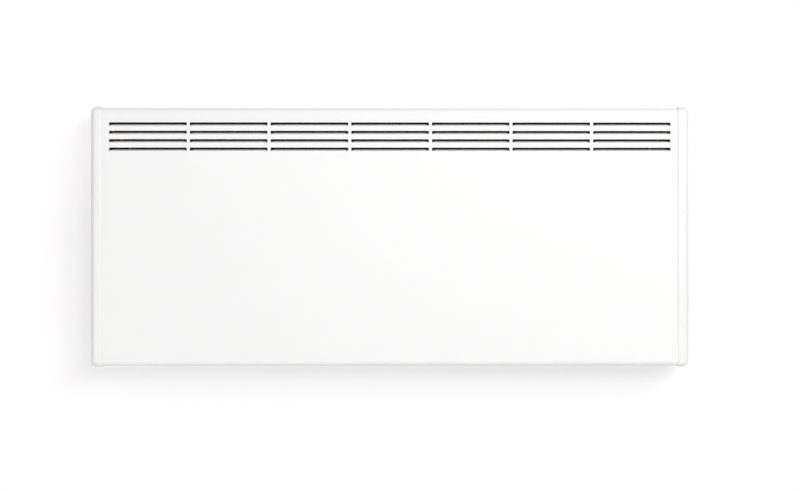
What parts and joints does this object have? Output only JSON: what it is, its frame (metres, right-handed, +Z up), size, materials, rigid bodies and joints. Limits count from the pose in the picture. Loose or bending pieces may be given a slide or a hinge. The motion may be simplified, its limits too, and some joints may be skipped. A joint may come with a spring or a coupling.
{
  "type": "wall panel convector heater",
  "caption": "Slim white wall convector heater: folded steel panel with rows of louvres along the top, moulded end caps, side dial and rocker switch, hung on a hooked wall bracket.",
  "frame": {"origin": "middle of the wall bracket's back face, on the wall plane, level with the heater's middle", "axes": "+Z up, +Y into the wall, -Y out of the heater's front, +X to the right as seen from the front"},
  "size_m": [0.85, 0.085, 0.37],
  "materials": {
    "white_paint": "white powder coat with a fine orange-peel surface",
    "white_plastic": "white moulded plastic, fine spark texture",
    "grey_plastic": "light grey moulded plastic",
    "dark_plastic": "black moulded plastic",
    "zinc": "galvanised sheet steel with a faint spangle",
    "aluminium": "mill finish",
    "steel": "bright drawn steel",
    "brass": "turned brass",
    "copper": "drawn copper tube",
    "ceramic": "unglazed steatite",
    "rubber": "black moulded rubber",
    "lamp": "clear red lens",
    "brown_lead": "brown insulated wire",
    "blue_lead": "blue insulated wire",
    "earth_lead": "green and yellow insulated wire"
  },
  "bodies": {
    "wall_side": {"wall_bracket": "zinc", "bumper_left": "rubber", "bumper_right": "rubber"},
    "heater": {"front_panel": "white_paint", "end_cap_left": "white_plastic", "end_cap_right": "white_plastic", "control_bezel": "grey_plastic", "sensor_clip": "grey_plastic", "thermostat_body": "dark_plastic", "switch_housing": "dark_plastic", "control_box": "dark_plastic", "cable_gland": "dark_plastic", "gland_nut": "dark_plastic", "overheat_cutout": "dark_plastic", "back_panel": "zinc", "end_plate_left": "zinc", "end_plate_right": "zinc", "top_screw_1": "zinc", "top_screw_2": "zinc", "top_screw_3": "zinc", "bottom_screw_1": "zinc", "bottom_screw_2": "zinc", "bottom_screw_3": "zinc", "cap_screw_left_low": "zinc", "cap_screw_left_high": "zinc", "cap_screw_right_low": "zinc", "cap_screw_right_high": "zinc", "tube_clip_1": "zinc", "tube_clip_2": "zinc", "tube_clip_3": "zinc", "corner_clip_left": "zinc", "corner_clip_right": "zinc", "element_bracket_left": "zinc", "element_bracket_right": "zinc", "heating_profile": "aluminium", "heat_shield": "aluminium", "heating_rod": "steel", "thermostat_nut": "steel", "rocker_pin": "steel", "rod_terminal_left": "brass", "rod_terminal_right": "brass", "earth_stud": "brass", "earth_nut": "brass", "capillary_tube": "copper", "sensor_tube": "copper", "air_sensor": "copper", "rod_bushing_left": "ceramic", "rod_bushing_right": "ceramic", "terminal_block": "ceramic", "indicator_lamp": "lamp", "lead_to_switch": "brown_lead", "lead_switch_to_thermostat": "brown_lead", "lead_thermostat_to_cutout": "brown_lead", "lead_to_element": "brown_lead", "lead_return": "blue_lead", "lead_earth": "earth_lead"},
    "dial": {"thermostat_knob": "white_plastic", "thermostat_shaft": "steel"},
    "rocker": {"switch_rocker": "white_plastic"}
  },
  "joints": [
    {"name": "lift_off", "type": "slide", "parent": "wall_side", "child": "heater", "axis": [0, 0, 1], "range_m": [0, 0.012]},
    {"name": "dial_turn", "type": "hinge", "parent": "heater", "child": "dial", "pos_m": [0.41, -0.053, -0.075], "axis": [1, 0, 0], "range_deg": [-135, 135]},
    {"name": "rocker_tilt", "type": "hinge", "parent": "heater", "child": "rocker", "pos_m": [0.4075, -0.053, -0.125], "axis": [0, 1, 0], "range_deg": [0, 16]}
  ]
}
